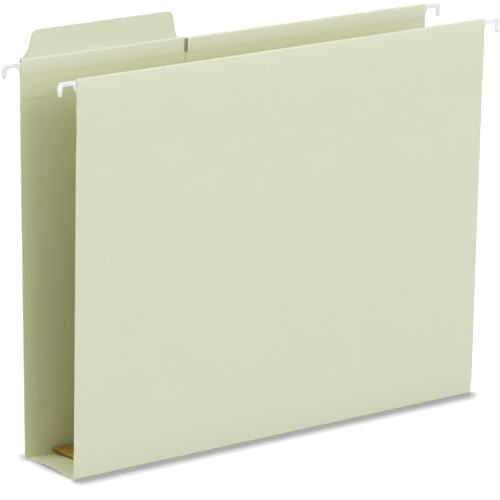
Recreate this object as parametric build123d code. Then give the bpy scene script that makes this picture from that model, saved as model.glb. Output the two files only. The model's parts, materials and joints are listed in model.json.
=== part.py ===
from build123d import *
from math import atan2, cos, degrees, pi, radians, sin, sqrt
import os

# Lengths are in millimetres and angles in degrees.
# X runs along the width, Y from front to rear and Z up from the table, with the origin midway between
# the two bottom folds.

# Sheet
folder_width = 298.45
bottom_depth = 50.8
fold_height = 238.0
card = 0.5
crease_gap = 0.15

# Panel shape from the foot up: a curl at the bottom fold, a straight face, a kick and an upright hem.
# A lean is measured from upright, and outwards is positive.
curl_length = 18.0
kick_length = 12.0
settle_length = 12.0
front_foot_lean = 6.0
front_face_lean = 0.92
front_kick_lean = 3.5
rear_foot_lean = 0.0
rear_face_lean = 0.85
rear_kick_lean = -1.0

# Hem that holds a rod
flap_depth = 22.7
hem_margin = 1.5
joggle_angle = 25.0
joggle_radius = 0.6
front_outer_share = 0.0
rear_outer_share = 0.5
glue = 0.1
glue_inset = 1.5

# Tab section, at the left of the rear panel; the sheet's end cuts the curve at the tab's left foot short
tab_section = 116.05
tab_height = 17.5
tab_lean = 6.0
tab_left_inset = 3.75
tab_right_inset = 5.2
tab_slant = 4.2
tab_corner = 4.2
tab_left_foot = 9.8
tab_right_foot = 5.8
shoulder_rise = 0.2
notch_width = 2.9
notch_depth = 8.4
slit_width = 0.3

# Rods: flat steel strips with a hook cut at each end, dipped in a coating
rod_thickness = 0.5
rod_height = 7.6
coat = 0.1
coat_run = 8.0
pocket_play = 0.1
hook_reach = 12.7
arm_height = 2.6
gusset_run = 2.2
throat_width = 7.0
lip_drop = 8.2
lip_foot = 2.1
lip_taper = 0.7
nose_cut = 1.5
nose_drop = 2.9
nose_round = 1.2
chin_round_share = 0.4
throat_round = 0.5

# Bottom and its loose board
bottom_rise = 1.8
score_bend = 12.0
board_thickness = 1.0
board_end_gap = 17.0
board_side_gap = 3.0
board_corner = 1.0
seat_gap = 0.2

# One overrun serves all cuts
overrun = 5.0

# Sizes worked out from the ones above; a hem's outer ply takes its share of the rod's bulge, the flap the rest
coated_thickness = rod_thickness + 2 * coat
pocket = coated_thickness + 2 * pocket_play
spring_height = fold_height - card - pocket / 2
rod_top = spring_height + sqrt((pocket / 2) ** 2 - (coated_thickness / 2) ** 2) - pocket_play - coat
pocket_floor = rod_top - rod_height - coat - pocket_play
flap_end = fold_height - flap_depth
hem_start = flap_end - hem_margin
tab_top = fold_height + tab_height
shoulder = fold_height + shoulder_rise
notch_floor = fold_height - notch_depth
left_end = -folder_width / 2
right_end = folder_width / 2
slit_middle = left_end + tab_section
slit_left = slit_middle - slit_width / 2
slit_right = slit_middle + slit_width / 2
notch_left = slit_middle - notch_width / 2
notch_right = slit_middle + notch_width / 2
fold_foot = bottom_depth / 2 - card / 2
bulge = pocket - glue
front_step = bulge * front_outer_share
rear_step = bulge * rear_outer_share


def walk(point, lean, run):
    # end point and lean of the middle line after one run, which is a length and a turn
    length, turn = run
    a, b = radians(lean), radians(lean + turn)
    if turn == 0:
        return (point[0] + length * sin(a), point[1] + length * cos(a)), lean
    radius = length / (b - a)
    u = point[0] + radius * (cos(a) - cos(b))
    z = point[1] + radius * (sin(b) - sin(a))
    return (u, z), lean + turn


def walk_all(point, lean, runs):
    for run in runs:
        point, lean = walk(point, lean, run)
    return point, lean


def off_line(point, start, lean):
    # how far a point lies inside a leaning line, and how far along it
    a = radians(lean)
    u, z = point[0] - start[0], point[1] - start[1]
    return z * sin(a) - u * cos(a), z * cos(a) + u * sin(a)


def card_section(start, lean, runs, side=1, round_foot=False, stock=card):
    # section of a sheet along its middle line, in the Y and Z of the folder; side is -1 at the front
    def beside(point, lean, offset):
        a = radians(lean)
        return (side * (point[0] + offset * cos(a)), point[1] - offset * sin(a))

    edges = []
    point, heading = start, lean
    for length, turn in runs:
        middle, middle_lean = walk(point, heading, (length / 2, turn / 2))
        end, end_lean = walk(point, heading, (length, turn))
        for offset in (-stock / 2, stock / 2):
            first = beside(point, heading, offset)
            last = beside(end, end_lean, offset)
            if turn == 0:
                edges.append(Line(first, last))
            else:
                edges.append(ThreePointArc(first, beside(middle, middle_lean, offset), last))
        point, heading = end, end_lean

    foot = [beside(start, lean, offset) for offset in (-stock / 2, stock / 2)]
    if round_foot:
        tip, _ = walk(start, lean, (-stock / 2, 0))
        edges.append(ThreePointArc(foot[0], beside(tip, lean, 0), foot[1]))
    else:
        edges.append(Line(*foot))
    edges.append(Line(*[beside(point, heading, offset) for offset in (-stock / 2, stock / 2)]))
    return make_face(edges)


def along_width(section, x_from, x_to):
    return extrude(Plane.YZ.offset(x_from) * section, x_to - x_from)


def through_depth(outline):
    return extrude(Plane.XZ * outline, bottom_depth, both=True)


def block(x_from, x_to, y_from, y_to, z_from, z_to):
    solid = Box(x_to - x_from, y_to - y_from, z_to - z_from)
    return Pos((x_from + x_to) / 2, (y_from + y_to) / 2, (z_from + z_to) / 2) * solid


def bend(turn):
    # one round of a joggle
    return (joggle_radius * radians(abs(turn)), turn)


def joggle(step, turn):
    # the S-bend that carries a ply aside by that step
    if step == 0:
        return []
    angle = radians(joggle_angle)
    slope = (step - 2 * joggle_radius * (1 - cos(angle))) / sin(angle)
    return [bend(turn), (slope, 0), bend(-turn)]


def joggle_drop(step):
    # height that such a bend takes up
    return walk_all((0, 0), 0, joggle(step, joggle_angle))[0][1]


def panel_runs(foot_lean, face_lean, kick_lean, step):
    # runs from the bottom fold to the level where the hem's fold springs
    curl = (curl_length, face_lean - foot_lean)
    kick = (kick_length, kick_lean - face_lean)
    settle = (settle_length, -kick_lean)
    bent_rise = 0
    for lean, run in ((foot_lean, curl), (face_lean, kick), (kick_lean, settle)):
        bent_rise += walk((0, 0), lean, run)[0][1]
    face = (hem_start - card / 2 - bent_rise) / cos(radians(face_lean))
    glued = (pocket_floor - joggle_drop(step) - hem_start, 0)
    wall = (spring_height - pocket_floor, 0)
    return [curl, (face, 0), kick, settle, glued] + joggle(step, joggle_angle) + [wall]


def flap_runs(step):
    # the inner ply from the pocket's floor down to the flap's end
    return joggle(step, -joggle_angle) + [(pocket_floor - joggle_drop(step) - flap_end, 0)]


def hem_section(hem_u, side, step):
    # fold over the rod, inner wall of its pocket and glued flap
    fold = (pi * (pocket + card) / 2, -180)
    wall = (spring_height - pocket_floor, 0)
    return card_section((hem_u, spring_height), 0, [fold, wall] + flap_runs(step), side)


def glue_film(x_from, x_to, z_from, z_to, glued_u, side):
    # film on the inner face of a panel's outer ply
    face_y = side * (glued_u - card / 2)
    back_y = side * (glued_u - card / 2 - glue)
    film = (x_from + glue_inset, x_to - glue_inset, min(face_y, back_y), max(face_y, back_y))
    return block(*film, z_from + glue_inset, z_to - glue_inset)


def tab_blank():
    # everything below the shoulders, and the tab that stands on them
    foot_left = left_end + tab_left_inset
    foot_right = notch_left - tab_right_inset
    tail = left_end - tab_left_foot
    rim = FilletPolyline(
        (tail, shoulder),
        (foot_left, shoulder),
        (foot_left + tab_slant, tab_top),
        (foot_right - tab_slant, tab_top),
        (foot_right, shoulder),
        (notch_right + overrun, shoulder),
        radius=[tab_left_foot, tab_corner, tab_corner, tab_right_foot],
    )
    rest = Polyline(
        (notch_right + overrun, shoulder),
        (notch_right + overrun, 0),
        (tail, 0),
        (tail, shoulder),
    )
    return through_depth(make_face(rim.edges() + rest.edges()))


def rod_outline():
    # half of the strip with its hook, mirrored to the other end
    tip = right_end + hook_reach
    lip_out = tip - lip_taper
    lip_z = rod_top - lip_drop
    arm_z = rod_top - arm_height
    chin_round = chin_round_share * lip_foot
    hook = FilletPolyline(
        (0, rod_top),
        (tip - nose_cut, rod_top),
        (tip, rod_top - nose_drop),
        (lip_out, lip_z),
        (lip_out - lip_foot, lip_z),
        (right_end + gusset_run + throat_width, arm_z),
        (right_end + gusset_run, arm_z),
        (right_end, rod_top - rod_height),
        (0, rod_top - rod_height),
        radius=[nose_round, nose_round, chin_round, chin_round] + [throat_round] * 3,
    )
    middle = Line((0, rod_top - rod_height), (0, rod_top))
    half = make_face(hook.edges() + middle.edges())
    return half + mirror(half, Plane.YZ)


def rod_set(hem_u, side):
    # the steel strip, then the coatings of its left and right hooks
    seat = Pos(0, side * (hem_u - (card + pocket) / 2), 0)
    outline = rod_outline()
    strip = extrude(Plane.XZ * outline, rod_thickness / 2, both=True)
    skin = extrude(Plane.XZ * offset(outline, coat), coated_thickness / 2, both=True)
    coatings = []
    for end in (-1, 1):
        inner = end * (right_end - coat_run)
        outer = end * (right_end + hook_reach + overrun)
        dip = block(min(inner, outer), max(inner, outer), -overrun, overrun, 0, fold_height)
        coatings.append(seat * ((skin & dip) - strip))
    return seat * strip, *coatings


def bottom_sheet():
    # two flat halves that rise to a rounded middle score
    half_span = fold_foot - card / 2 - crease_gap
    slope = atan2(bottom_rise, half_span)
    flat = (half_span - score_bend * sin(slope)) / cos(slope)
    runs = [(flat, 0), (2 * score_bend * slope, 2 * degrees(slope)), (flat, 0)]
    start = ((-half_span, card / 2), 90 - degrees(slope))
    crown = walk_all(*start, [runs[0], (score_bend * slope, degrees(slope))])[0][1]
    return along_width(card_section(*start, runs), left_end, right_end), crown + card / 2


# Front panel with its hem
front_runs = panel_runs(front_foot_lean, front_face_lean, front_kick_lean, front_step)
front_start = ((fold_foot, card / 2), front_foot_lean)
front_u = walk_all(*front_start, front_runs)[0][0]
front_panel = along_width(
    card_section(*front_start, front_runs, -1, round_foot=True) + hem_section(front_u, -1, bulge - front_step),
    left_end,
    right_end,
)

# Rear panel: plain sheet, hem right of the notch and rear ply of the tab left of it
rear_runs = panel_runs(rear_foot_lean, rear_face_lean, rear_kick_lean, rear_step)
rear_start = ((fold_foot, card / 2), rear_foot_lean)
rear_u = walk_all(*rear_start, rear_runs)[0][0]
rear_sheet = along_width(card_section(*rear_start, rear_runs, 1, round_foot=True), left_end, right_end)
notch_low, notch_high = notch_floor, tab_top + overrun
notch_cut = block(notch_left, notch_right, 0, bottom_depth, notch_low, notch_high)
rear_hem = along_width(hem_section(rear_u, 1, bulge - rear_step), slit_right, right_end) - notch_cut
riser_runs = [(fold_height - spring_height, 0)] + joggle(rear_step, -joggle_angle)
riser_runs[-1] = bend(joggle_angle - tab_lean)
riser_foot, _ = walk_all((rear_u, spring_height), 0, riser_runs)
riser_length = (tab_top - riser_foot[1]) / cos(radians(tab_lean))
tab_riser = card_section((rear_u, spring_height), 0, riser_runs + [(riser_length + overrun, 0)])
rear_riser = along_width(tab_riser, left_end, notch_right) & tab_blank()
rear_panel = rear_sheet + rear_hem + rear_riser

# Inner ply of the tab section, from the flap's end up over the rod; the slope of its upper joggle brings it to
# the leaning riser
ply_start = (rear_u - rear_step - card - glue, flap_end)
ply_climb = [(length, -turn) for length, turn in reversed(flap_runs(bulge - rear_step))]
ply_climb.append((fold_height - pocket_floor, 0))
ply_out, ply_back = bend(joggle_angle), bend(-joggle_angle - tab_lean)
bare_foot, _ = walk_all(ply_start, 0, ply_climb + [ply_out, ply_back])
bare_gap, _ = off_line(bare_foot, riser_foot, -tab_lean)
ply_slope = ((bare_gap - card - glue) / sin(radians(joggle_angle + tab_lean)), 0)
ply_climb += [ply_out, ply_slope, ply_back]
ply_foot, _ = walk_all(ply_start, 0, ply_climb)
_, ply_rise = off_line(ply_foot, riser_foot, -tab_lean)
tab_section_face = card_section(ply_start, 0, ply_climb + [(riser_length - ply_rise + overrun, 0)])
tab_ply = (along_width(tab_section_face, left_end, slit_left) & tab_blank()) - notch_cut

# Glue lines
front_glue_top = pocket_floor - joggle_drop(bulge - front_step)
rear_glue_top = pocket_floor - joggle_drop(bulge - rear_step)
front_hem_glue = glue_film(left_end, right_end, flap_end, front_glue_top, front_u - front_step, -1)
rear_hem_glue = glue_film(slit_right, right_end, flap_end, rear_glue_top, rear_u - rear_step, 1)
tab_hem_glue = glue_film(left_end, slit_left, flap_end, rear_glue_top, rear_u - rear_step, 1)
film_side, _ = walk(riser_foot, -tab_lean - 90, ((card + glue) / 2, 0))
film_foot, _ = walk(film_side, -tab_lean, (ply_rise + glue_inset, 0))
tab_film = card_section(film_foot, -tab_lean, [(riser_length - ply_rise - 2 * glue_inset, 0)], stock=glue)
tab_glue = along_width(
    tab_film,
    left_end + tab_left_inset + tab_slant + glue_inset,
    notch_left - tab_right_inset - tab_slant - glue_inset,
)

# Rods and their coatings
front_rod, front_left_coat, front_right_coat = rod_set(front_u, -1)
rear_rod, rear_left_coat, rear_right_coat = rod_set(rear_u, 1)

# Bottom and its loose board
bottom_panel, crown_top = bottom_sheet()
board_length = folder_width - 2 * board_end_gap
board_depth = bottom_depth - 2 * board_side_gap
board_outline = RectangleRounded(board_length, board_depth, board_corner)
bottom_board = Pos(0, 0, crown_top + seat_gap) * extrude(board_outline, board_thickness)

nodes = {
    "front_panel": front_panel,
    "rear_panel": rear_panel,
    "bottom_panel": bottom_panel,
    "tab_ply": tab_ply,
    "bottom_board": bottom_board,
    "front_rod": front_rod,
    "rear_rod": rear_rod,
    "front_left_hook_coating": front_left_coat,
    "front_right_hook_coating": front_right_coat,
    "rear_left_hook_coating": rear_left_coat,
    "rear_right_hook_coating": rear_right_coat,
    "front_hem_glue": front_hem_glue,
    "rear_hem_glue": rear_hem_glue,
    "tab_hem_glue": tab_hem_glue,
    "tab_glue": tab_glue,
}
os.makedirs("parts", exist_ok=True)
for name, solid in nodes.items():
    export_step(solid, f"parts/{name}.step")

print("front and rear hem planes", round(-front_u, 3), round(rear_u, 3))
print("rod top and arm underside", round(rod_top, 3), round(rod_top - arm_height - coat, 3))
print("bottom crown", round(crown_top, 3))
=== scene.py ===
import json
from math import atan2, ceil, cos, degrees, pi, radians, sin, tan

import bmesh
import bpy
from mathutils import Matrix, Vector


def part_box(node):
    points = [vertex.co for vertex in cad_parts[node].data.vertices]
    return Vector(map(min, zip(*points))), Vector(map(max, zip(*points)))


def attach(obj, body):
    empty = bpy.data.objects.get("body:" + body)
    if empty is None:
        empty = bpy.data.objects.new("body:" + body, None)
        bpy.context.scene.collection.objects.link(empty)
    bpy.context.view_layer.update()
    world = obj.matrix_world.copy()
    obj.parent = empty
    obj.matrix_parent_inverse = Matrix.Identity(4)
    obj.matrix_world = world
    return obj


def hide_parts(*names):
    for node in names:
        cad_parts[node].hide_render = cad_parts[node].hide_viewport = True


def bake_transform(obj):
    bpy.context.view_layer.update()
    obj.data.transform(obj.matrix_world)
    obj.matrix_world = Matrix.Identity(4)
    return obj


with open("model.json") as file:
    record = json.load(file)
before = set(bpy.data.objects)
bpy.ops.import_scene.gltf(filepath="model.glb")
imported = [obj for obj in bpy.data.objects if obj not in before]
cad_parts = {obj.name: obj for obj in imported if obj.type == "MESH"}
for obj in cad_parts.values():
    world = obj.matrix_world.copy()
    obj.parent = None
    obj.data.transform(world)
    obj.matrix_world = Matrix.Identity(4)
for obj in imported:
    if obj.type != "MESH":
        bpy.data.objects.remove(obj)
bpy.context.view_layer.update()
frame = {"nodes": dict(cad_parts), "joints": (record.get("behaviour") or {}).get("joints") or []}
scene = bpy.context.scene
mm = 0.001
tiny = 0.0001 * mm


# node trees

class Wire:
    # one socket of a node tree; arithmetic on it adds Math nodes
    def __init__(self, tree, socket=None):
        self.tree = tree
        self.socket = socket

    def node(self, kind, settings=None, inputs=None, out=0):
        made = self.tree.nodes.new(kind)
        for name, value in (settings or {}).items():
            setattr(made, name, value)
        for key, value in (inputs or {}).items():
            if isinstance(value, Wire):
                self.tree.links.new(value.socket, made.inputs[key])
            else:
                made.inputs[key].default_value = value
        return Wire(self.tree, made.outputs[out] if made.outputs else None)

    def out(self, name):
        return Wire(self.tree, self.socket.node.outputs[name])

    def maths(self, operation, first, second):
        return self.node("ShaderNodeMath", {"operation": operation}, {0: first, 1: second})

    def __add__(self, other):
        return self.maths("ADD", self, other)

    def __radd__(self, other):
        return self.maths("ADD", other, self)

    def __sub__(self, other):
        return self.maths("SUBTRACT", self, other)

    def __rsub__(self, other):
        return self.maths("SUBTRACT", other, self)

    def __mul__(self, other):
        return self.maths("MULTIPLY", self, other)


def ease(value, low, high):
    # 0 below low, 1 above high and smooth between
    inputs = {"Value": value, "From Min": low, "From Max": high}
    return value.node("ShaderNodeMapRange", {"interpolation_type": "SMOOTHSTEP"}, inputs)


def mixed(factor, first, second):
    # colours are linear RGB; 6 and 7 are the node's two colours and 2 is the mixed one
    sides = [side if isinstance(side, Wire) else (*side, 1) for side in (first, second)]
    return factor.node("ShaderNodeMix", {"data_type": "RGBA"}, {0: factor, 6: sides[0], 7: sides[1]}, 2)


def swing(noise, amount):
    # noise about zero, half that amount to each side
    return (noise - 0.5) * amount


def grains(place, size, detail=2.0, stretch=(1, 1, 1), turn=(0, 0, 0), shift=(0, 0, 0)):
    # noise whose grains are about that size, from 0 to 1
    layout = {"Vector": place, "Location": shift, "Rotation": turn, "Scale": stretch}
    moved = place.node("ShaderNodeMapping", {}, layout)
    return place.node("ShaderNodeTexNoise", {}, {"Vector": moved, "Scale": 1 / size, "Detail": detail})


def newMaterial(name):
    material = bpy.data.materials.new(name)
    material.use_nodes = True
    material.node_tree.nodes.clear()
    wire = Wire(material.node_tree)
    return material, wire, wire.node("ShaderNodeTexCoord", out="Object")


def surface(wire, colour, roughness, height=None, bump=0.2, bumpDepth=0.1 * mm, **constants):
    inputs = {"Base Color": colour, "Roughness": roughness}
    if height is not None:
        relief = {"Height": height, "Strength": bump, "Distance": bumpDepth}
        inputs["Normal"] = wire.node("ShaderNodeBump", {}, relief)
    for name, value in constants.items():
        inputs[name.replace("_", " ")] = value
    shader = wire.node("ShaderNodeBsdfPrincipled", {}, inputs)
    wire.node("ShaderNodeOutputMaterial", {}, {"Surface": shader})


# finishes

cardFinish = dict(
    deep=(0.624, 0.640, 0.440), pale=(0.692, 0.708, 0.508), fleck=(0.52, 0.52, 0.33),
    lint=(0.76, 0.77, 0.62), wearAndHighlight=(0.78, 0.80, 0.62),
    cloud=dict(size=30 * mm), mottle=dict(size=2.4 * mm, detail=3), grain=dict(size=0.4 * mm),
    along=dict(size=0.7 * mm, detail=1, stretch=(0.1, 1, 1), turn=(0, 0.5, 0)),
    upright=dict(size=0.7 * mm, detail=1, stretch=(1, 1, 0.1), turn=(0, 0.7, 0), shift=(3, 1, 2)),
    cloudShare=0.3, mottleShare=0.6, grainShare=0.45, strays=(0.68, 0.76), fleckShare=0.12, lintShare=0.15,
    wearAndHighlightShare=0.2, wearAndHighlightMottle=0.4, roughness=0.74, roughSpread=0.14, grainRelief=0.6, mottleRelief=0.5,
    fibreRelief=0.2, bump=0.16, gloss=0.3,
)


def mossCard():
    # uncoated card: soft clouds, fibre mottle, a few stray fibres, paler where it is folded: stress
    # whitening plus a painted highlight along the folds
    f = cardFinish
    material, wire, place = newMaterial("mossCard")
    cloud, mottle, grain = [grains(place, **f[name]) for name in ("cloud", "mottle", "grain")]
    along, upright = [grains(place, **f[name]) for name in ("along", "upright")]
    wearAndHighlight = wire.node("ShaderNodeAttribute", {"attribute_name": "foldWear"}, out="Fac")
    tone = 0.5 + swing(cloud, f["cloudShare"]) + swing(mottle, f["mottleShare"])
    tone = tone + swing(grain, f["grainShare"])
    colour = mixed(tone, f["deep"], f["pale"])
    colour = mixed(ease(along, *f["strays"]) * f["fleckShare"], colour, f["fleck"])
    colour = mixed(ease(upright, *f["strays"]) * f["lintShare"], colour, f["lint"])
    # paler along the folds: wear plus a painted highlight
    colour = mixed(wearAndHighlight * (f["wearAndHighlightShare"] + mottle * f["wearAndHighlightMottle"]), colour, f["wearAndHighlight"])
    roughness = f["roughness"] + swing(mottle, f["roughSpread"])
    height = grain * f["grainRelief"] + mottle * f["mottleRelief"] + upright * f["fibreRelief"]
    surface(wire, colour, roughness, height, f["bump"], Specular_IOR_Level=f["gloss"])
    return material


edgeFinish = dict(
    cream=(0.70, 0.70, 0.52), shade=(0.60, 0.61, 0.43),
    layers=dict(size=0.12 * mm, stretch=(0.08, 1, 0.3)), tufts=dict(size=1.5 * mm, detail=3),
    layerShare=0.6, tuftShare=0.4, blend=(0.35, 0.65), roughness=0.85, roughSpread=0.1, bump=0.3, gloss=0.2,
)


def cardCutEdge():
    # sheared edge: cream core in thin torn layers
    f = edgeFinish
    material, wire, place = newMaterial("cardCutEdge")
    layers, tufts = [grains(place, **f[name]) for name in ("layers", "tufts")]
    torn = ease(layers * f["layerShare"] + tufts * f["tuftShare"], *f["blend"])
    roughness = f["roughness"] + swing(tufts, f["roughSpread"])
    colour = mixed(torn, f["shade"], f["cream"])
    surface(wire, colour, roughness, layers + tufts, f["bump"], Specular_IOR_Level=f["gloss"])
    return material


boardFinish = dict(
    deep=(0.42, 0.29, 0.075), pale=(0.58, 0.42, 0.14), dark=(0.20, 0.13, 0.04), straw=(0.66, 0.52, 0.24),
    cloud=dict(size=12 * mm, detail=3),
    chips=dict(size=0.9 * mm, detail=3, stretch=(0.25, 1, 1), turn=(0, 0, 0.35)),
    crossed=dict(size=0.9 * mm, stretch=(1, 0.2, 1), turn=(0, 0, 0.2), shift=(5, 2, 0)),
    cloudShare=0.5, chipShare=0.5, strawSpecks=(0.62, 0.70), strawShare=0.55, darkSpecks=(0.64, 0.72),
    darkShare=0.6, roughness=0.62, roughSpread=0.2, chipRelief=0.7, crossedRelief=0.4, bump=0.25, gloss=0.4,
)


def pressboard():
    # dense brown board pressed from fibres, with dark and straw-coloured specks
    f = boardFinish
    material, wire, place = newMaterial("pressboard")
    cloud, chips, crossed = [grains(place, **f[name]) for name in ("cloud", "chips", "crossed")]
    colour = mixed(cloud * f["cloudShare"] + chips * f["chipShare"], f["deep"], f["pale"])
    colour = mixed(ease(chips, *f["strawSpecks"]) * f["strawShare"], colour, f["straw"])
    colour = mixed(ease(crossed, *f["darkSpecks"]) * f["darkShare"], colour, f["dark"])
    roughness = f["roughness"] + swing(chips, f["roughSpread"])
    height = chips * f["chipRelief"] + crossed * f["crossedRelief"]
    surface(wire, colour, roughness, height, f["bump"], Specular_IOR_Level=f["gloss"])
    return material


boardEdgeFinish = dict(
    dark=(0.20, 0.13, 0.04), pale=(0.22, 0.16, 0.06),
    layers=dict(size=0.2 * mm, detail=3, stretch=(0.06, 0.06, 1)),
    blend=(0.3, 0.7), roughness=0.7, roughSpread=0.2, bump=0.4, gloss=0.3,
)


def pressboardEdge():
    # guillotined edge of the board, layered, and darker than its face: partly its own tone, partly painted
    # shade
    f = boardEdgeFinish
    material, wire, place = newMaterial("pressboardEdge")
    layers = grains(place, **f["layers"])
    # both edge tones stand partly for painted shade
    colour = mixed(ease(layers, *f["blend"]), f["dark"], f["pale"])
    roughness = f["roughness"] + swing(layers, f["roughSpread"])
    surface(wire, colour, roughness, layers, f["bump"], Specular_IOR_Level=f["gloss"])
    return material


coatFinish = dict(
    white=(0.84, 0.84, 0.845), grey=(0.79, 0.79, 0.795),
    ripple=dict(size=1.6 * mm), scuff=dict(size=0.5 * mm, detail=3, stretch=(1, 1, 0.3)),
    rippleShare=0.6, scuffShare=0.4, blend=(0.35, 0.65), roughness=0.3, roughSpread=0.18,
    bump=0.12, bumpDepth=0.2 * mm, coat=0.25,
)


def dippedPlastic():
    # white dip that has run and set, so its gloss ripples a little
    f = coatFinish
    material, wire, place = newMaterial("dippedPlastic")
    ripple, scuff = [grains(place, **f[name]) for name in ("ripple", "scuff")]
    clean = ease(ripple * f["rippleShare"] + scuff * f["scuffShare"], *f["blend"])
    roughness = f["roughness"] + swing(scuff, f["roughSpread"])
    colour = mixed(clean, f["grey"], f["white"])
    surface(wire, colour, roughness, ripple, f["bump"], f["bumpDepth"], Coat_Weight=f["coat"])
    return material


steelFinish = dict(
    bright=(0.52, 0.50, 0.40), dull=(0.40, 0.385, 0.29),
    lines=dict(size=0.12 * mm, stretch=(0.02, 1, 1)), patches=dict(size=7 * mm, detail=3),
    lineShare=0.5, patchShare=0.5, blend=(0.3, 0.7), roughness=0.5, lineSpread=0.2, patchSpread=0.1,
    bump=0.15, bumpDepth=0.05 * mm,
)


def stripSteel():
    # cold-rolled strip: rolling lines along its length and a few dull patches
    f = steelFinish
    material, wire, place = newMaterial("stripSteel")
    lines, patches = [grains(place, **f[name]) for name in ("lines", "patches")]
    shine = ease(lines * f["lineShare"] + patches * f["patchShare"], *f["blend"])
    roughness = f["roughness"] + swing(lines, f["lineSpread"]) + swing(patches, f["patchSpread"])
    colour = mixed(shine, f["dull"], f["bright"])
    surface(wire, colour, roughness, lines, f["bump"], f["bumpDepth"], Metallic=1.0)
    return material


glueFinish = dict(
    clear=(0.74, 0.70, 0.55), milky=(0.86, 0.84, 0.74), beads=dict(size=1.2 * mm, detail=3),
    blend=(0.3, 0.7), roughness=0.42, roughSpread=0.3, bump=0.3, bumpDepth=0.05 * mm,
)


def driedGlue():
    # thin film, milky where it beads
    f = glueFinish
    material, wire, place = newMaterial("driedGlue")
    beads = grains(place, **f["beads"])
    colour = mixed(ease(beads, *f["blend"]), f["clear"], f["milky"])
    surface(wire, colour, f["roughness"] + swing(beads, f["roughSpread"]), beads, f["bump"], f["bumpDepth"])
    return material


card, cardEdge = mossCard(), cardCutEdge()
board, boardEdge = pressboard(), pressboardEdge()
plastic, steel, glue = dippedPlastic(), stripSteel(), driedGlue()
print("finishes made:", len(bpy.data.materials))


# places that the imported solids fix

hinge = {joint["name"]: Vector(joint["pos_m"]) for joint in frame["joints"] if "pos_m" in joint}
panelBox, rearBox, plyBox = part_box("front_panel"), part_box("rear_panel"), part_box("tab_ply")
bottomBox, boardBox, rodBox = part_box("bottom_panel"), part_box("bottom_board"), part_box("rear_rod")
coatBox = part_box("rear_right_hook_coating")
leftEnd, rightEnd, foldHeight = panelBox[0].x, panelBox[1].x, panelBox[1].z
tabTop, flapEnd, slitLeft = rearBox[1].z, plyBox[0].z, plyBox[1].x
foldFoot, rodTop = hinge["rear_panel_fold"].y, rodBox[1].z
coatedThickness = coatBox[1].y - coatBox[0].y

cardStock = dict(
    thickness=0.5 * mm, creaseRadius=0.45 * mm, scoreBend=12 * mm, slopeRounds=6, wearAndHighlightFade=0.8 * mm,
    foldStep=9, bendStep=4 * mm, flatStep=14 * mm, bendGuard=0.4 * mm, guardRoom=8, columns=36,
)
panelShape = dict(curl=18 * mm, kick=12 * mm, settle=12 * mm)
frontLean = dict(foot=6, face=0.92, kick=3.5)
rearLean = dict(foot=0, face=0.85, kick=-1)
hem = dict(
    play=0.1 * mm, rodHeight=7.6 * mm, coat=0.1 * mm, topAngle=25, topRadius=0.6 * mm,
    footAngle=11, footRadius=1.2 * mm, footLift=0.6 * mm,
    glue=0.1 * mm, margin=1.5 * mm, frontOuterShare=0, rearOuterShare=0.5,
)

thickness = cardStock["thickness"]
crown = bottomBox[1].z - thickness / 2
pocket = coatedThickness + 2 * hem["play"]
springHeight = foldHeight - thickness - pocket / 2
rodFoot = rodTop - hem["rodHeight"] - hem["coat"] - hem["play"]
pocketFloor = rodFoot + hem["footLift"]  # the soft slope that starts here still clears the rod
hemStart = flapEnd - hem["margin"]
bulge = pocket - hem["glue"]
frontStep, rearStep = bulge * hem["frontOuterShare"], bulge * hem["rearOuterShare"]


# card that is cut flat, ruled and folded

def walk(point, lean, length, turn):
    # end of one run of the card's middle line; lean is from upright and outwards is positive
    a, b = radians(lean), radians(lean + turn)
    if turn == 0:
        return (point[0] + length * sin(a), point[1] + length * cos(a)), lean
    radius = length / (b - a)
    return (point[0] + radius * (cos(a) - cos(b)), point[1] + radius * (sin(b) - sin(a))), lean + turn


def walkAll(point, lean, runs):
    for run in runs:
        point, lean = walk(point, lean, *run)
    return point


def offLine(point, start, lean):
    # how far a point lies inside a leaning line, and how far along it
    a = radians(lean)
    u, z = point[0] - start[0], point[1] - start[1]
    return z * sin(a) - u * cos(a), z * cos(a) + u * sin(a)


def bend(turn, radius):
    # one round of a joggle
    return (radius * radians(abs(turn)), turn)


def joggle(step, turn, radius):
    # S-bend that carries a ply aside by that step
    if step == 0:
        return []
    angle = radians(abs(turn))
    slope = (step - 2 * radius * (1 - cos(angle))) / sin(angle)
    return [bend(turn, radius), (slope, 0), bend(-turn, radius)]


def footJoggle(step, side):
    # soft joggle under the rod
    return joggle(step, side * hem["footAngle"], hem["footRadius"])


def footDrop(step):
    return walkAll((0, 0), 0, footJoggle(step, 1))[1]


def foldLine(start, lean, runs, side):
    # points of the middle line, the length reached at each, and the length where each run ends
    point, heading = start, lean
    points, marks, ends = [Vector((0, side * point[0], point[1]))], [0.0], []
    guard = cardStock["bendGuard"]
    for length, turn in runs:
        stretch = cardStock["bendStep"] if turn else cardStock["flatStep"]
        steps = max(1, round(abs(turn) / cardStock["foldStep"]), ceil(length / stretch))
        shares = [i / steps for i in range(1, steps + 1)]
        if length > cardStock["guardRoom"] * guard:
            # rows close to both ends keep the next bend's shading out of this run
            shares = sorted(shares + [guard / length, 1 - guard / length])
        for share in shares:
            reached, _ = walk(point, heading, length * share, turn * share)
            points.append(Vector((0, side * reached[0], reached[1])))
            marks.append(marks[-1] + (points[-1] - points[-2]).length)
        point, heading = walk(point, heading, length, turn)
        ends.append(marks[-1])
    return dict(points=points, marks=marks, ends=ends)


def markAt(line, height, after=0.0):
    # length along the line where it passes a height, or comes nearest to it
    steps = [step for step in zip(line["marks"], line["points"]) if step[0] >= after - tiny]
    for (low, first), (high, last) in zip(steps, steps[1:]):
        if min(first.z, last.z) <= height <= max(first.z, last.z) and first.z != last.z:
            return low + (high - low) * (height - first.z) / (last.z - first.z)
    return min(steps, key=lambda step: abs(step[1].z - height))[0]


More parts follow.
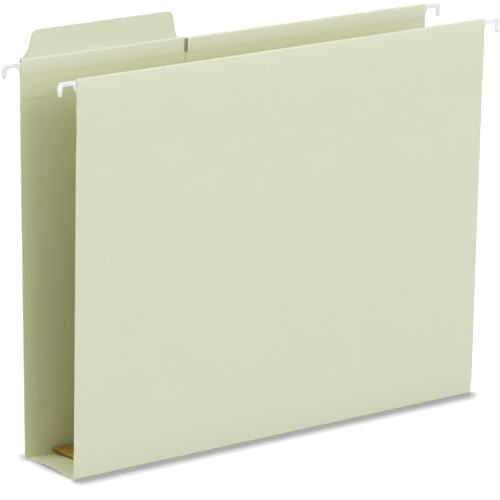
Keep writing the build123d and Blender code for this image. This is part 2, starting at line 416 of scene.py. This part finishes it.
def roundedOutline(corners, arcStep=12):
    # corners are (x, y, radius)
    outline = []
    for i, (x, y, radius) in enumerate(corners):
        here = Vector((x, y))
        back = (Vector(corners[i - 1][:2]) - here).normalized()
        ahead = (Vector(corners[(i + 1) % len(corners)][:2]) - here).normalized()
        if radius == 0:
            outline.append(here)
            continue
        half = back.angle(ahead) / 2
        centre = here + (back + ahead).normalized() * radius / sin(half)
        first = here + back * radius / tan(half) - centre
        last = here + ahead * radius / tan(half) - centre
        steps = max(2, round(degrees(pi - 2 * half) / arcStep))
        turns = [first.slerp(last, k / steps).normalized() for k in range(steps + 1)]
        outline += [centre + turn * radius for turn in turns]
    return outline


def cutBlank(name, outline, rows, columns, wearAndHighlight=()):
    # flat sheet of that outline, ruled by rows and columns so that it can fold and bow;
    # it is paled within the given lengths by wear plus a painted highlight along the folds
    sheet = bmesh.new()
    sheet.faces.new([sheet.verts.new((x, y, 0)) for x, y in outline])
    for normal, lines in ((Vector((0, 1, 0)), rows), (Vector((1, 0, 0)), columns)):
        for at in lines:
            everything = sheet.verts[:] + sheet.edges[:] + sheet.faces[:]
            bmesh.ops.bisect_plane(sheet, geom=everything, dist=tiny, plane_co=normal * at, plane_no=normal)
    # how much each point is paled: wear plus a painted highlight near the folds
    wearAndHighlightLayer = sheet.verts.layers.float.new("foldWear")
    for vert in sheet.verts:
        gaps = [max(low - vert.co.y, vert.co.y - high, 0) for low, high in wearAndHighlight]
        vert[wearAndHighlightLayer] = max(0, 1 - min(gaps) / cardStock["wearAndHighlightFade"]) if gaps else 0
    mesh = bpy.data.meshes.new(name)
    sheet.to_mesh(mesh)
    sheet.free()
    return mesh


def makeFoldTree():
    # lays a flat sheet along a line: x stays and y becomes the length along it; slack card bows a little
    tree = bpy.data.node_groups.new("foldAlongLine", "GeometryNodeTree")
    tree.interface.new_socket("Sheet", in_out="OUTPUT", socket_type="NodeSocketGeometry")
    kinds = dict(
        Sheet="Geometry", Line="Object", Bow="Float", BowSize="Float", SlackFrom="Float", SlackTo="Float",
        SlackEase="Float", Seed="Float", Finish="Material",
    )
    for name, kind in kinds.items():
        tree.interface.new_socket(name, in_out="INPUT", socket_type="NodeSocket" + kind)
    given = Wire(tree).node("NodeGroupInput")
    flat = given.node("GeometryNodeInputPosition")
    across = given.node("ShaderNodeSeparateXYZ", {}, {0: flat})
    along = across.out("Y")
    line = given.node("GeometryNodeObjectInfo", {}, {"Object": given.out("Line")}, "Geometry")
    reached = {"Curves": line, "Length": along}
    sample = given.node("GeometryNodeSampleCurve", {"mode": "LENGTH"}, reached, "Position")
    sides = {0: sample.out("Tangent"), 1: (1, 0, 0)}
    outward = given.node("ShaderNodeVectorMath", {"operation": "CROSS_PRODUCT"}, sides)
    fineness = given.maths("DIVIDE", 1.0, given.out("BowSize"))
    noise = {"Vector": flat, "W": given.out("Seed"), "Scale": fineness, "Detail": 1.0}
    wave = given.node("ShaderNodeTexNoise", {"noise_dimensions": "4D"}, noise)
    slack = ease(along, given.out("SlackFrom"), given.out("SlackFrom") + given.out("SlackEase"))
    slack = slack * (1 - ease(along, given.out("SlackTo") - given.out("SlackEase"), given.out("SlackTo")))
    bow = swing(wave, given.out("Bow")) * slack
    lifted = given.node("ShaderNodeVectorMath", {"operation": "SCALE"}, {0: outward, "Scale": bow})
    folded = given.node("ShaderNodeSeparateXYZ", {}, {0: sample})
    place = given.node("ShaderNodeCombineXYZ", {}, {0: across, 1: folded.out("Y"), 2: folded.out("Z")})
    place = given.node("ShaderNodeVectorMath", {"operation": "ADD"}, {0: place, 1: lifted})
    shaped = given.node("GeometryNodeSetPosition", {}, {"Geometry": given, "Position": place})
    real = given.node("GeometryNodeRealizeInstances", {}, {"Geometry": shaped})
    done = given.node("GeometryNodeSetMaterial", {}, {"Geometry": real, "Material": given.out("Finish")})
    given.node("NodeGroupOutput", {}, {0: done})
    return tree


foldTree = makeFoldTree()


def addObject(name, data):
    made = bpy.data.objects.new(name, data)
    scene.collection.objects.link(made)
    return made


def settled(obj):
    # the shape with its modifiers, as a plain mesh; the helper object goes
    graph = bpy.context.evaluated_depsgraph_get()
    shape = obj.evaluated_get(graph)
    mesh = bpy.data.meshes.new_from_object(shape, preserve_all_data_layers=True, depsgraph=graph)
    bpy.data.objects.remove(obj)
    return mesh


def foldBlank(blank, line, finish, bow=0.0, bowSize=90 * mm, slack=(0, 1), slackEase=30 * mm, seed=1.0):
    data = bpy.data.curves.new(blank.name + "Line", "CURVE")
    data.dimensions = "3D"
    spline = data.splines.new("POLY")
    spline.points.add(len(line["points"]) - 1)
    for control, point in zip(spline.points, line["points"]):
        control.co = (*point, 1)
    path = addObject(data.name, data)
    obj = addObject(blank.name, blank)
    modifier = obj.modifiers.new("fold", "NODES")
    modifier.node_group = foldTree
    values = dict(
        Line=path, Bow=bow, BowSize=bowSize, SlackFrom=slack[0], SlackTo=slack[1], SlackEase=slackEase,
        Seed=seed, Finish=finish,
    )
    for item in foldTree.interface.items_tree:
        if item.in_out == "INPUT" and item.name in values:
            modifier[item.identifier] = values[item.name]
    mesh = settled(obj)
    bpy.data.objects.remove(path)
    return mesh


sheetEdges = dict(weld=10 * tiny, softenSteps=2, softenAngle=60, sharpAngle=35)


def thickSheet(name, meshes, depth, finish, edge, bevel=0.0):
    # joins folded blanks into one sheet and gives it the stock's thickness
    joined = bmesh.new()
    for mesh in meshes:
        joined.from_mesh(mesh)
    bmesh.ops.remove_doubles(joined, verts=joined.verts, dist=sheetEdges["weld"])
    bmesh.ops.recalc_face_normals(joined, faces=joined.faces)
    mesh = bpy.data.meshes.new(name + "Surface")
    joined.to_mesh(mesh)
    joined.free()
    mesh.materials.append(finish)
    mesh.materials.append(edge)
    obj = addObject(name + "Surface", mesh)
    solid = obj.modifiers.new("thickness", "SOLIDIFY")
    solid.thickness = depth
    solid.offset = 0
    solid.use_even_offset = True
    solid.material_offset_rim = 1
    if bevel:
        soften = obj.modifiers.new("soften", "BEVEL")
        soften.width = bevel
        soften.segments = sheetEdges["softenSteps"]
        soften.limit_method = "ANGLE"
        soften.angle_limit = radians(sheetEdges["softenAngle"])
    done = settled(obj)
    done.name = name
    done.shade_smooth()
    done.set_sharp_from_angle(angle=radians(sheetEdges["sharpAngle"]))
    return addObject(name, done)


columnStep = (rightEnd - leftEnd) / cardStock["columns"]
columns = [leftEnd + columnStep * i for i in range(1, cardStock["columns"])]


def panelRuns(lean, step, lost=0.0):
    # curl, face, kick, settle, glued hem and pocket wall, up to where the hem's fold springs;
    # the crease takes the lost length off the curl
    curl = (panelShape["curl"] - lost, lean["face"] - lean["foot"])
    kick = (panelShape["kick"], lean["kick"] - lean["face"])
    settle = (panelShape["settle"], -lean["kick"])
    bends = ((lean["foot"], curl), (lean["face"], kick), (lean["kick"], settle))
    bentRise = sum(walk((0, 0), start, *run)[0][1] for start, run in bends)
    foot = thickness / 2 + lost * cos(radians(lean["foot"]))
    face = (hemStart - foot - bentRise) / cos(radians(lean["face"]))
    glued = (pocketFloor - footDrop(step) - hemStart, 0)
    wall = (springHeight - pocketFloor, 0)
    return [curl, (face, 0), kick, settle, glued] + footJoggle(step, 1) + [wall]


def bottomRuns(lean):
    # half of the bottom from its middle score outwards, then the crease up into a panel
    score, radius, slope = cardStock["scoreBend"], cardStock["creaseRadius"], 0.0
    for _ in range(cardStock["slopeRounds"]):  # the slope settles within a few rounds
        slope = atan2(crown - score * (1 - cos(slope)) - thickness / 2, foldFoot - score * sin(slope))
    turn = pi / 2 + slope - radians(lean["foot"])
    inset = radius * tan(turn / 2)
    flat = (foldFoot - score * sin(slope)) / cos(slope) - inset
    return [(score * slope, degrees(slope)), (flat, 0), (radius * turn, -degrees(turn))], inset


def flapRuns(step):
    # inner ply from the pocket's floor down to the flap's end
    return footJoggle(step, -1) + [(pocketFloor - footDrop(step) - flapEnd, 0)]


def hemRuns(step):
    # fold over the rod, inner wall of its pocket and flap
    return [(pi * (pocket + thickness) / 2, -180), (springHeight - pocketFloor, 0)] + flapRuns(step)


def sheetLine(lean, side, step, top):
    # whole middle line of a sheet, with the lengths between which it is creased, folded and slack;
    # its flat is trimmed so that the hem lies in the solid's plane
    lower, inset = bottomRuns(lean)
    panel = panelRuns(lean, step, inset)
    plane = walkAll((foldFoot, thickness / 2), lean["foot"], panelRuns(lean, step))[0]
    lower[1] = (lower[1][0] + plane - walkAll((0, crown), 90, lower + panel)[0], 0)
    line = foldLine((0, crown), 90, lower + panel + top, side)
    ends = line["ends"]
    # the crease ends the bottom's runs, settling is the panel's fourth run and the pocket wall its last
    crease, settle, wall = len(lower) - 1, len(lower) + 3, len(lower + panel) - 1
    line["crease"] = ends[crease - 1:crease + 1]
    line["slack"] = (ends[crease], ends[settle])
    line["fold"] = ends[wall:wall + 2]
    return line


# front sheet: front half of the bottom, crease, front panel and its hem

frontSheetLook = dict(bow=0.5 * mm, bowSize=95 * mm, seed=3.0)
frontLine = sheetLine(frontLean, -1, frontStep, hemRuns(bulge - frontStep))
frontEnd = frontLine["marks"][-1]
outline = [(leftEnd, 0), (rightEnd, 0), (rightEnd, frontEnd), (leftEnd, frontEnd)]
# crease and hem fold get wear plus a painted highlight
wearAndHighlight = [frontLine["crease"], frontLine["fold"]]
blank = cutBlank("frontBlank", outline, frontLine["marks"][1:-1], columns, wearAndHighlight)
folded = foldBlank(blank, frontLine, card, slack=frontLine["slack"], **frontSheetLook)
frontSheet = thickSheet("frontSheet", [folded], thickness, card, cardEdge)
hemPlane = round(frontLine["points"][-1].y / mm, 3)
print("front sheet:", len(frontSheet.data.polygons), "faces, hem at y", hemPlane)


# rear sheet: rear half of the bottom, rear panel, its hem right of the notch and the rear ply of the tab

tabShape = dict(
    lean=6, leftInset=3.75 * mm, rightInset=5.2 * mm, slant=4.2 * mm, corner=4.2 * mm, leftFoot=9.8 * mm,
    rightFoot=5.8 * mm, shoulderRise=0.2 * mm, notchWidth=2.9 * mm, notchDepth=8.4 * mm, slitWidth=0.3 * mm,
)
shoulder = foldHeight + tabShape["shoulderRise"]
notchFloor = foldHeight - tabShape["notchDepth"]
slitRight = slitLeft + tabShape["slitWidth"]
notchLeft = (slitLeft + slitRight - tabShape["notchWidth"]) / 2
notchRight = notchLeft + tabShape["notchWidth"]
tabLeft, tabRight = leftEnd + tabShape["leftInset"], notchLeft - tabShape["rightInset"]


def tabRim(right):
    # upper edge of the tab section from right to left, as (x, height);
    # the sheet's end cuts the left foot short
    t = tabShape
    tail = leftEnd - t["leftFoot"]
    corners = [
        (right, shoulder, 0), (tabRight, shoulder, t["rightFoot"]),
        (tabRight - t["slant"], tabTop, t["corner"]), (tabLeft + t["slant"], tabTop, t["corner"]),
        (tabLeft, shoulder, t["leftFoot"]), (tail, shoulder, 0),
        (tail, 0, 0), (right, 0, 0),
    ]
    rim = [point for point in roundedOutline(corners) if point.y > 0]
    kept = [point for point in rim if point.x > leftEnd]
    last, beyond = kept[-1], rim[len(kept)]
    return kept + [last.lerp(beyond, (last.x - leftEnd) / (last.x - beyond.x))]


rearSheetLook = dict(bow=0.5 * mm, bowSize=95 * mm, seed=8.0)
rearLine = sheetLine(rearLean, 1, rearStep, hemRuns(bulge - rearStep))
rearPlane = walkAll((foldFoot, thickness / 2), rearLean["foot"], panelRuns(rearLean, rearStep))[0]
tabLean, topAngle, topRadius = tabShape["lean"], hem["topAngle"], hem["topRadius"]
riserRuns = [(foldHeight - springHeight, 0)] + joggle(rearStep, -topAngle, topRadius)
riserRuns[-1] = bend(topAngle - tabLean, topRadius)
riserFoot = walkAll((rearPlane, springHeight), 0, riserRuns)
riserLength = (tabTop - riserFoot[1]) / cos(radians(tabLean))
riserLine = sheetLine(rearLean, 1, rearStep, riserRuns + [(riserLength, 0)])
rearEnd = rearLine["marks"][-1]
foldStart, foldEnd = rearLine["fold"]
notchMark = markAt(rearLine, notchFloor, foldEnd)

rise = [(x, markAt(riserLine, z, foldStart)) for x, z in tabRim(notchRight)]
outline = [(leftEnd, 0), (notchRight, 0)] + rise
ruled = [x for x in columns if x < notchRight - tiny]
# the crease gets wear plus a painted highlight
blank = cutBlank("riserBlank", outline, riserLine["marks"][1:-1], ruled, [rearLine["crease"]])
riser = foldBlank(blank, riserLine, card, slack=rearLine["slack"], **rearSheetLook)

outline = [
    (notchRight, 0), (rightEnd, 0), (rightEnd, rearEnd), (slitRight, rearEnd), (slitRight, notchMark),
    (notchRight, notchMark),
]
ruled = [notchRight] + [x for x in columns if x > notchRight + tiny]
# crease and hem fold get wear plus a painted highlight
wearAndHighlight = [rearLine["crease"], rearLine["fold"]]
blank = cutBlank("rearBlank", outline, rearLine["marks"][1:-1], ruled, wearAndHighlight)
hemmed = foldBlank(blank, rearLine, card, slack=rearLine["slack"], **rearSheetLook)
rearSheet = thickSheet("rearSheet", [riser, hemmed], thickness, card, cardEdge)
print("rear sheet:", len(rearSheet.data.polygons), "faces, notch from x", round(notchLeft / mm, 3))


# inner ply of the tab section, from the flap's end up over the rod

plyStart = (rearPlane - rearStep - thickness - hem["glue"], flapEnd)
plyRuns = [(length, -turn) for length, turn in reversed(flapRuns(bulge - rearStep))]
plyRuns.append((foldHeight - pocketFloor, 0))
bends = [bend(topAngle, topRadius), bend(-topAngle - tabLean, topRadius)]
bareGap, _ = offLine(walkAll(plyStart, 0, plyRuns + bends), riserFoot, -tabLean)
# the slope of its upper joggle brings it to the leaning riser
plySlope = (bareGap - thickness - hem["glue"]) / sin(radians(topAngle + tabLean))
plyRuns += [bends[0], (plySlope, 0), bends[1]]
plyFlat = (tabTop - walkAll(plyStart, 0, plyRuns)[1]) / cos(radians(tabLean))
plyLine = foldLine(plyStart, 0, plyRuns + [(plyFlat, 0)], 1)
plyNotch = markAt(plyLine, notchFloor)
rim = [(x, markAt(plyLine, z)) for x, z in tabRim(notchLeft)]
outline = rim + [(leftEnd, 0), (slitLeft, 0), (slitLeft, plyNotch), (notchLeft, plyNotch)]
ruled = [notchLeft] + [x for x in columns if x < slitLeft - tiny]
# the upper joggle gets wear plus a painted highlight
upperJoggle = (plyLine["ends"][-5], plyLine["ends"][-2])  # from the rod's pocket to the flat
blank = cutBlank("plyBlank", outline, plyLine["marks"][1:-1], ruled, [upperJoggle])
folded = foldBlank(blank, plyLine, card)
tabInnerPly = thickSheet("tabInnerPly", [folded], thickness, card, cardEdge)
print("tab ply:", len(tabInnerPly.data.polygons), "faces, down to z", round(flapEnd / mm, 3))


# loose board on the bottom

boardLook = dict(corner=1 * mm, bow=0.12 * mm, bowSize=60 * mm, bevel=0.12 * mm, seed=5.0)
boardLow, boardHigh = boardBox
boardDepth = boardHigh.y - boardLow.y
boardThickness = boardHigh.z - boardLow.z
boardMiddle = (boardHigh.z + boardLow.z) / 2
boardLine = foldLine((boardLow.y, boardMiddle), 90, [(boardDepth, 0)], 1)
places = ((boardLow.x, 0), (boardHigh.x, 0), (boardHigh.x, boardDepth), (boardLow.x, boardDepth))
corners = [(x, y, boardLook["corner"]) for x, y in places]
ruled = [x for x in columns if boardLow.x + tiny < x < boardHigh.x - tiny]
blank = cutBlank("boardBlank", roundedOutline(corners), boardLine["marks"][1:-1], ruled)
folded = foldBlank(blank, boardLine, board, boardLook["bow"], boardLook["bowSize"], seed=boardLook["seed"])
bottomBoard = thickSheet("bottomBoard", [folded], boardThickness, board, boardEdge, boardLook["bevel"])
print("board:", len(bottomBoard.data.polygons), "faces")


# dipped coatings of the four hooks

hookShape = dict(
    reach=12.7 * mm, armHeight=2.6 * mm, gusset=2.2 * mm, throat=7 * mm, lipDrop=8.2 * mm, lipFoot=2.1 * mm,
    lipTaper=0.7 * mm, noseCut=1.5 * mm, noseDrop=2.9 * mm, noseRound=1.2 * mm, chinRound=0.84 * mm,
    throatRound=0.5 * mm, run=8 * mm, arcStep=10, soften=0.22 * mm, softenSteps=3, sharpAngle=50,
)


def grown(corners, by):
    # moves the sides of a clockwise outline outwards
    made = []
    for i, (x, y, radius) in enumerate(corners):
        here = Vector((x, y))
        into = (here - Vector(corners[i - 1][:2])).normalized()
        away = (Vector(corners[(i + 1) % len(corners)][:2]) - here).normalized()
        first, last = Vector((-into.y, into.x)), Vector((-away.y, away.x))
        moved = here + (first + last) * by / (1 + first.dot(last))
        bulges = into.cross(away) < 0
        made.append((moved.x, moved.y, max(radius + (by if bulges else -by), by) if radius else 0))
    return made


def hookCoating(name, end, rodPlane):
    # outline of the coated hook, seen from the front at the right-hand end, then its rounded slab
    h = hookShape
    armUnder, lipEnd = rodTop - h["armHeight"], rodTop - h["lipDrop"]
    lipOut, strip = h["reach"] - h["lipTaper"], rodTop - hem["rodHeight"]
    steelLine = [
        (-h["run"], rodTop, 0), (h["reach"] - h["noseCut"], rodTop, h["noseRound"]),
        (h["reach"], rodTop - h["noseDrop"], h["noseRound"]), (lipOut, lipEnd, h["chinRound"]),
        (lipOut - h["lipFoot"], lipEnd, h["chinRound"]),
        (h["gusset"] + h["throat"], armUnder, h["throatRound"]), (h["gusset"], armUnder, h["throatRound"]),
        (0, strip, h["throatRound"]), (-h["run"], strip, 0),
    ]
    outline = roundedOutline(grown(steelLine, hem["coat"]), h["arcStep"])
    slab = bmesh.new()
    half = coatedThickness / 2
    face = slab.faces.new([slab.verts.new((end * (rightEnd + e), rodPlane - half, z)) for e, z in outline])
    pulled = bmesh.ops.extrude_face_region(slab, geom=[face])["geom"]
    for vert in pulled:
        if isinstance(vert, bmesh.types.BMVert):
            vert.co.y = rodPlane + half
    bmesh.ops.recalc_face_normals(slab, faces=slab.faces)
    mesh = bpy.data.meshes.new(name + "Slab")
    slab.to_mesh(mesh)
    slab.free()
    mesh.materials.append(plastic)
    obj = addObject(name + "Slab", mesh)
    soften = obj.modifiers.new("soften", "BEVEL")
    soften.width = h["soften"]
    soften.segments = h["softenSteps"]
    soften.limit_method = "ANGLE"
    soften.angle_limit = radians(h["sharpAngle"])
    done = settled(obj)
    done.name = name
    done.shade_smooth()
    done.set_sharp_from_angle(angle=radians(h["sharpAngle"]))
    return addObject(name, done)


hooks = {}
for row in ("front", "rear"):
    for sideName, end in (("left", -1), ("right", 1)):
        low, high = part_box(row + "_rod")
        node = row + "_" + sideName + "_hook_coating"
        hooks[node] = hookCoating(row + sideName.capitalize() + "HookCoating", end, (low.y + high.y) / 2)
print("hooks:", ", ".join(sorted(hook.name for hook in hooks.values())))


# what each piece stands for; the tab ply, board and hooks ride on their bodies, the sheets are baked in
# place

for sheet, body, side in ((frontSheet, "front", -1), (rearSheet, "rear", 1)):
    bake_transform(sheet)
    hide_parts(body + "_panel", "bottom_panel")
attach(tabInnerPly, "rear")
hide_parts("tab_ply")
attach(bottomBoard, "board")
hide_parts("bottom_board")
for node, hook in hooks.items():
    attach(hook, node.split("_")[0] + "_rod")
    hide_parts(node)
shownNodes = dict(
    front_rod=steel, rear_rod=steel, front_hem_glue=glue, rear_hem_glue=glue, tab_hem_glue=glue,
    tab_glue=glue,
)
for node, finish in shownNodes.items():
    frame["nodes"][node].data.materials.clear()
    frame["nodes"][node].data.materials.append(finish)


# studio: pale floor with a painted contact shadow, soft light and the camera

studio = dict(
    floorRadius=14.0, floorSides=96, floorSeen=0.15, floorFar=0.18, farShare=0.75, floorBounce=0.06,
    floorRoughness=0.9, dust=dict(size=0.4), dustSpread=0.05,
    contactReach=9 * mm, contactRays=8, contactFull=0.1, contactShade=0.3,
    skyLight=1.68, skyDrop=0.8, skySeen=1.08,
    sunStrength=10.4, fillStrength=9.45, sunAngle=2.9, sunTilt=1.7, sunYaw=-37,
    tone=((0.10, 0.055), (0.18, 0.14), (0.27, 0.245), (0.40, 0.41), (0.54, 0.565), (0.74, 0.70)),
)
softboxes = dict(
    frontSoftbox=dict(place=(0.2, -2.6, 0.95), aim=(0, 0, 0.12), size=1.8, power=26.8),
    leftSoftbox=dict(place=(-0.62, 0.45, 1.9), aim=(-0.1, 0, 0.05), size=0.5, power=8),
)
cameraSet = dict(
    place=(-1.32314, -1.75933, 0.70292), yaw=-36.858, pitch=-15.095, roll=0.567, lens=274.37, sensor=36,
)

floorMaterial, wire, place = newMaterial("paleFloor")
shown, far, bounce = [[studio[name]] * 3 for name in ("floorSeen", "floorFar", "floorBounce")]
reach = wire.node("ShaderNodeVectorMath", {"operation": "LENGTH"}, {0: place}, "Value")
outer = ease(reach, studio["farShare"] * studio["floorRadius"], studio["floorRadius"])
shown = mixed(outer, shown, far)  # no grey horizon
# painted shadow: ambient occlusion darkens the floor's colour close to the folder
nearness = {"Distance": studio["contactReach"]}
closed = 1 - wire.node("ShaderNodeAmbientOcclusion", {"samples": studio["contactRays"]}, nearness, "AO")
paintedContactShadow = ease(closed, 0, studio["contactFull"]) * studio["contactShade"]
shown = mixed(paintedContactShadow, shown, (0, 0, 0))  # painted contact shadow: the floor darkens where the folder occludes it
toCamera = wire.node("ShaderNodeLightPath", out="Is Camera Ray")
dust = swing(grains(place, **studio["dust"]), studio["dustSpread"])
surface(wire, mixed(toCamera, bounce, shown), studio["floorRoughness"] + dust, Specular_IOR_Level=0.0)
disc = bmesh.new()
bmesh.ops.create_circle(disc, cap_ends=True, segments=studio["floorSides"], radius=studio["floorRadius"])
floorMesh = bpy.data.meshes.new("studioFloor")
disc.to_mesh(floorMesh)
disc.free()
floorMesh.materials.append(floorMaterial)
floor = addObject("studioFloor", floorMesh)

scene.world = bpy.data.worlds.new("studioSky")
scene.world.use_nodes = True
scene.world.node_tree.nodes.clear()
sky = Wire(scene.world.node_tree)
direction = sky.node("ShaderNodeSeparateXYZ", {}, {0: sky.node("ShaderNodeTexCoord", out="Generated")})
strength = (1 - ease(direction.out("Z"), 0.0, 1.0) * studio["skyDrop"]) * studio["skyLight"]
white = (1, 1, 1, 1)
glow = sky.node("ShaderNodeBackground", {}, {"Strength": strength, "Color": white})
seen = sky.node("ShaderNodeBackground", {}, {"Strength": studio["skySeen"], "Color": white})
toCamera = sky.node("ShaderNodeLightPath", out="Is Camera Ray")
both = sky.node("ShaderNodeMixShader", {}, {0: toCamera, 1: glow, 2: seen})
sky.node("ShaderNodeOutputWorld", {}, {"Surface": both})

for name, spec in softboxes.items():
    lamp = bpy.data.lights.new(name, "AREA")
    lamp.shape = "DISK"
    lamp.size = spec["size"]
    lamp.energy = spec["power"]
    light = addObject(name, lamp)
    light.location = spec["place"]
    light.rotation_euler = (Vector(spec["aim"]) - Vector(spec["place"])).to_track_quat("-Z", "Y").to_euler()
    light.visible_camera = False

# these light the floor alone, so that it is white right up to the foot of the folder
onlyFloor, cardAlone = [bpy.data.collections.new(name) for name in ("onlyFloor", "cardAlone")]
onlyFloor.objects.link(floor)
for piece in (frontSheet, rearSheet, tabInnerPly, bottomBoard):
    cardAlone.objects.link(piece)
for name, power, casts in (("floorSun", "sunStrength", True), ("floorFill", "fillStrength", False)):
    sun = bpy.data.lights.new(name, "SUN")
    sun.energy = studio[power]
    sun.angle = radians(studio["sunAngle"])
    sun.use_shadow = casts
    sunLight = addObject(name, sun)
    sunLight.rotation_euler = (-radians(studio["sunTilt"]), 0, radians(studio["sunYaw"]))
    sunLight.light_linking.receiver_collection = onlyFloor
    sunLight.light_linking.blocker_collection = cardAlone  # the thin hooks would draw spikes

lens = bpy.data.cameras.new("photoCamera")
lens.sensor_width = cameraSet["sensor"]
lens.lens = cameraSet["lens"]
camera = addObject("photoCamera", lens)
camera.location = cameraSet["place"]
turnZ = Matrix.Rotation(radians(cameraSet["yaw"]), 3, "Z")
tilt = Matrix.Rotation(radians(90 + cameraSet["pitch"]), 3, "X")
rollZ = Matrix.Rotation(radians(cameraSet["roll"]), 3, "Z")
camera.rotation_euler = (turnZ @ tilt @ rollZ).to_euler()
scene.camera = camera
scene.view_settings.view_transform = "Standard"
scene.view_settings.use_curve_mapping = True
toneCurve = scene.view_settings.curve_mapping.curves[3]  # red, green and blue together
for knot in studio["tone"]:
    toneCurve.points.new(*knot)
scene.view_settings.curve_mapping.update()
print("studio set")
